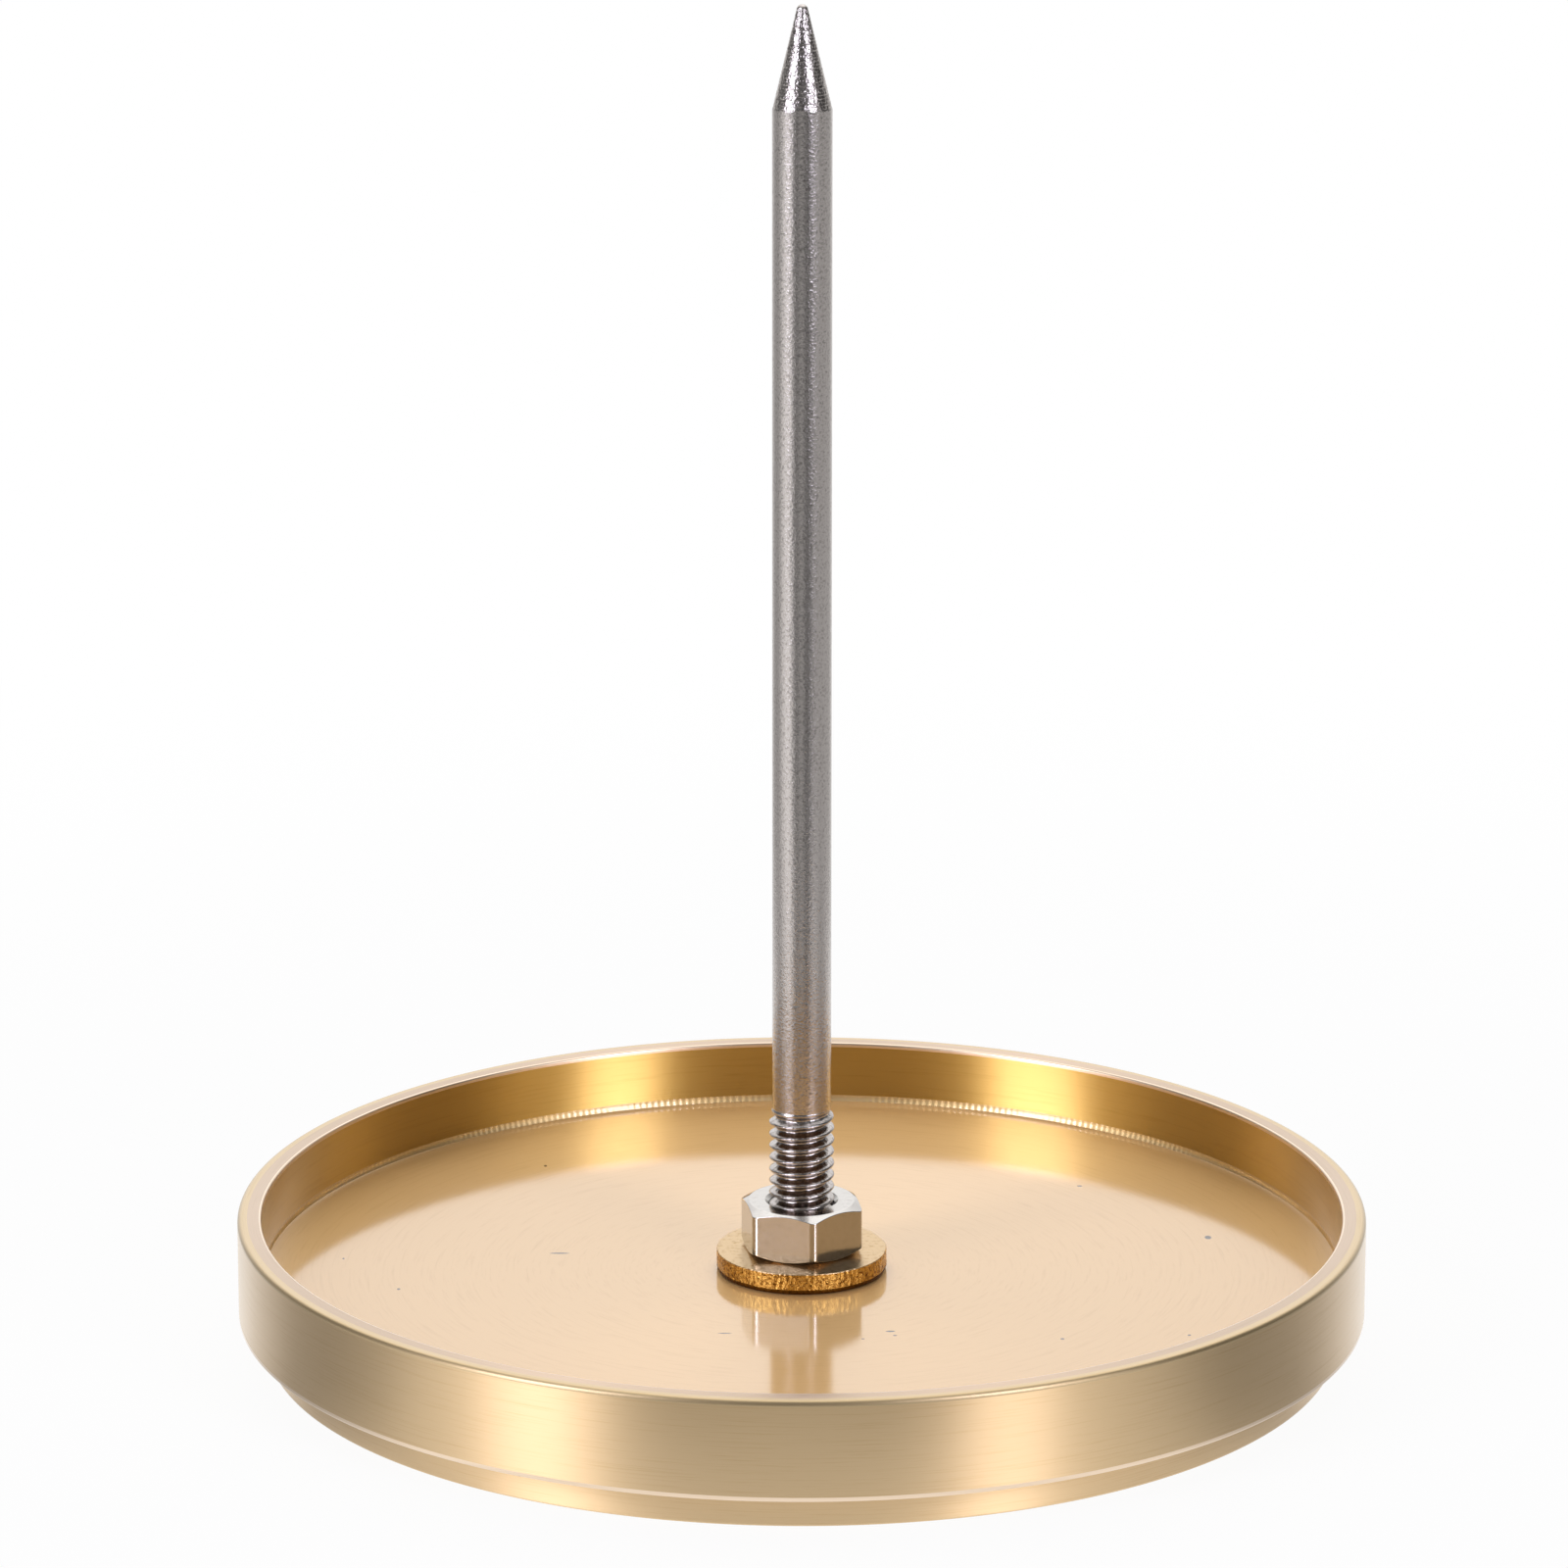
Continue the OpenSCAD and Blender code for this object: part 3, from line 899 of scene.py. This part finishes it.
# The room above the table, which the dish and the nut mirror
ROOM = [(-180, 1.1), (-155, 0.95), (-138, 0.42), (-108, 0.08), (-84, 0.15), (-67, 0.55), (-43, 0.62),
        (-30, 0.08), (5, 0.09), (22, 0.13), (36, 0.36), (50, 0.6), (62, 0.55), (74, 0.08), (90, 0.035),
        (110, 0.1), (128, 0.22), (142, 0.65), (155, 0.9), (180, 1.1)]
print("stops:", len(TABLE_NEAR), "near,", len(TABLE_FAR), "far and", len(ROOM), "in the room")

# %% [markdown]
# The floor is a sheet of white paper. A plain white material would turn grey where less light falls, so
# the camera sees it as near white with a soft shadow, through Light Path's Is Camera Ray. Metal sees it
# as the lamps light it, through Is Glossy Ray. The wall of the tray mirrors each ray at a slant, so the
# angle round the wall is less than the angle round the table, and the near levels are spread to allow
# for that.

# %% The table as metal sees it
# Where the near levels give way to the far ones
NEAR_R, FAR_R = 0.085, 0.17
# A patch under the tray's front edge, which is lit by the tray itself
POOL_CENTRE = (0, -0.04, 0)
POOL_R, POOL_END = 0.03, 0.06
POOL_LEVEL = 0.92


def table_levels(tree, place, away):
    """The levels of the table round the object, from a place on it and its distance from the axis."""
    far = add(tree, "ShaderNodeMapRange", {1: NEAR_R, 2: FAR_R}, {0: away}, interpolation_type="SMOOTHSTEP")
    angle = azimuth(tree, place)
    wider = add(tree, "ShaderNodeMath", {1: 2, 2: -tray_r}, {0: away}, operation="MULTIPLY_ADD")
    squeeze = add(tree, "ShaderNodeMath", links={0: away, 1: wider.outputs[0]}, operation="DIVIDE")
    wall_angle = add(tree, "ShaderNodeMath", links={0: angle, 1: squeeze.outputs[0]}, operation="MULTIPLY")
    near_levels = panorama(tree, wall_angle.outputs[0], TABLE_NEAR)
    far_levels = panorama(tree, angle, TABLE_FAR)
    table = add(tree, "ShaderNodeMix", links={"Factor": far.outputs[0], "A": near_levels, "B": far_levels},
                data_type="RGBA")
    ahead = add(tree, "ShaderNodeVectorMath", {1: POOL_CENTRE}, {0: place}, operation="DISTANCE")
    pool = add(tree, "ShaderNodeMapRange", {1: POOL_R, 2: POOL_END, 3: 1, 4: 0}, {0: ahead.outputs["Value"]},
               interpolation_type="SMOOTHSTEP")
    lit = add(tree, "ShaderNodeMix", {"B": grey(POOL_LEVEL)},
              {"Factor": pool.outputs[0], "A": table.outputs["Result"]}, data_type="RGBA")
    return lit.outputs["Result"]


# %% Floor
FLOOR_R = 1.2
FLOOR_Z = -0.02 * MM
FLOOR_SEGMENTS = 96
PAPER_COLOUR = "#f4f3f1"
# How much of the camera's view is plain white close to the tray and further off
SHADED_R, PLAIN_R = 0.09, 0.25
SHADED_SHARE, PLAIN_SHARE = 0.94, 1


def floor_finish():
    """White paper: near white with a soft shadow to the camera, and lit by the lamps to metal."""
    material, tree, output = new_finish("white_paper")
    rays = add(tree, "ShaderNodeLightPath").outputs
    place = add(tree, "ShaderNodeTexCoord").outputs["Object"]
    away = add(tree, "ShaderNodeVectorMath", links={0: place}, operation="LENGTH").outputs["Value"]
    plain = add(tree, "ShaderNodeMapRange", {1: SHADED_R, 2: PLAIN_R, 3: SHADED_SHARE, 4: PLAIN_SHARE},
                {0: away}, interpolation_type="SMOOTHSTEP")
    share = add(tree, "ShaderNodeMix",
                links={0: rays["Is Camera Ray"], 2: rays["Is Glossy Ray"], 3: plain.outputs[0]})
    seen = add(tree, "ShaderNodeMix", {"B": grey(1)},
               {"Factor": rays["Is Camera Ray"], "A": table_levels(tree, place, away)}, data_type="RGBA")
    glow = add(tree, "ShaderNodeEmission", links={"Color": seen.outputs["Result"]})
    paper = add(tree, "ShaderNodeBsdfDiffuse", {"Color": linear(PAPER_COLOUR)})
    mixed = add(tree, "ShaderNodeMixShader",
                links={0: share.outputs[0], 1: paper.outputs[0], 2: glow.outputs[0]})
    tree.links.new(mixed.outputs[0], output.inputs[0])
    return material


floor_edge = [(FLOOR_R * math.cos(a), FLOOR_R * math.sin(a), FLOOR_Z) for a in full_turn(FLOOR_SEGMENTS)]
floor_mesh = bpy.data.meshes.new("floor")
floor_mesh.from_pydata(floor_edge, [], [range(len(floor_edge))])
floor_mesh.materials.append(floor_finish())
floor = bpy.data.objects.new("floor", floor_mesh)
bpy.context.scene.collection.objects.link(floor)
print(f"floor {2 * FLOOR_R:.1f} m across")

# %% [markdown]
# Two tall soft boxes stand to the left and the right of the camera. The bored wall mirrors them as its
# two bright panels, and the point as its two bright bands. Square lamps would show as spots, so these
# are upright panels. They are a little blue, as flash is, which keeps the brightest brass from turning
# orange.

# %% Lamps
LAMP_COLOUR = "#ebebff"
LAMP_DISTANCE = 1.5
LAMP_LOW = 0.1
LAMP_HEIGHT = 1.2


def softbox(name, degrees, width, radiance):
    """An upright panel that faces the axis, at an angle from straight ahead."""
    data = bpy.data.lights.new(name, "AREA")
    data.shape = "RECTANGLE"
    data.size = width
    data.size_y = LAMP_HEIGHT
    data.energy = radiance * math.pi * width * LAMP_HEIGHT
    data.color = linear(LAMP_COLOUR)[:3]
    lamp = bpy.data.objects.new(name, data)
    a = math.radians(degrees)
    away = Vector((math.sin(a), -math.cos(a), 0))
    lamp.location = away * LAMP_DISTANCE + Vector((0, 0, LAMP_LOW + LAMP_HEIGHT / 2))
    lamp.rotation_euler = (-away).to_track_quat("-Z", "Y").to_euler()
    lamp.visible_camera = False
    bpy.context.scene.collection.objects.link(lamp)
    print(f"{name}: {width} m by {LAMP_HEIGHT} m, {data.energy:.1f} W")


softbox("strip_left", degrees=-53.5, width=0.54, radiance=6.36)
softbox("strip_right", degrees=41, width=0.44, radiance=6.12)

# %% [markdown]
# The world is the rest of the studio: the panorama of the room, and a large soft light overhead, a
# little behind the object, which gives the floor of the dish its pale sheen. A third lamp could be that
# light, but a patch of the world has a soft edge for nothing. The camera sees plain white there, as it
# does on the floor.

# %% World
OVERHEAD = (0, 0.5, 0.866)
OVERHEAD_EDGE, OVERHEAD_CORE = 0.72, 0.95
OVERHEAD_LEVEL = 1.44

world = bpy.data.worlds.new("studio")
bpy.context.scene.world = world
world.use_nodes = True
tree = world.node_tree
tree.nodes.clear()
rays = add(tree, "ShaderNodeLightPath").outputs
direction = add(tree, "ShaderNodeTexCoord").outputs["Generated"]
lean = add(tree, "ShaderNodeVectorMath", {1: OVERHEAD}, {0: direction}, operation="DOT_PRODUCT")
overhead = add(tree, "ShaderNodeMapRange", {1: OVERHEAD_EDGE, 2: OVERHEAD_CORE}, {0: lean.outputs["Value"]},
               interpolation_type="SMOOTHSTEP")
room = add(tree, "ShaderNodeMix", {"B": grey(OVERHEAD_LEVEL)},
           {"Factor": overhead.outputs[0], "A": panorama(tree, azimuth(tree, direction), ROOM)},
           data_type="RGBA")
seen = add(tree, "ShaderNodeMix", {"B": grey(1)},
           {"Factor": rays["Is Camera Ray"], "A": room.outputs["Result"]}, data_type="RGBA")
sky = add(tree, "ShaderNodeBackground", {"Strength": 1}, {"Color": seen.outputs["Result"]})
add(tree, "ShaderNodeOutputWorld", links={0: sky.outputs[0]})
bpy.context.scene.view_settings.view_transform = "Standard"
print("world:", len(tree.nodes), "nodes")
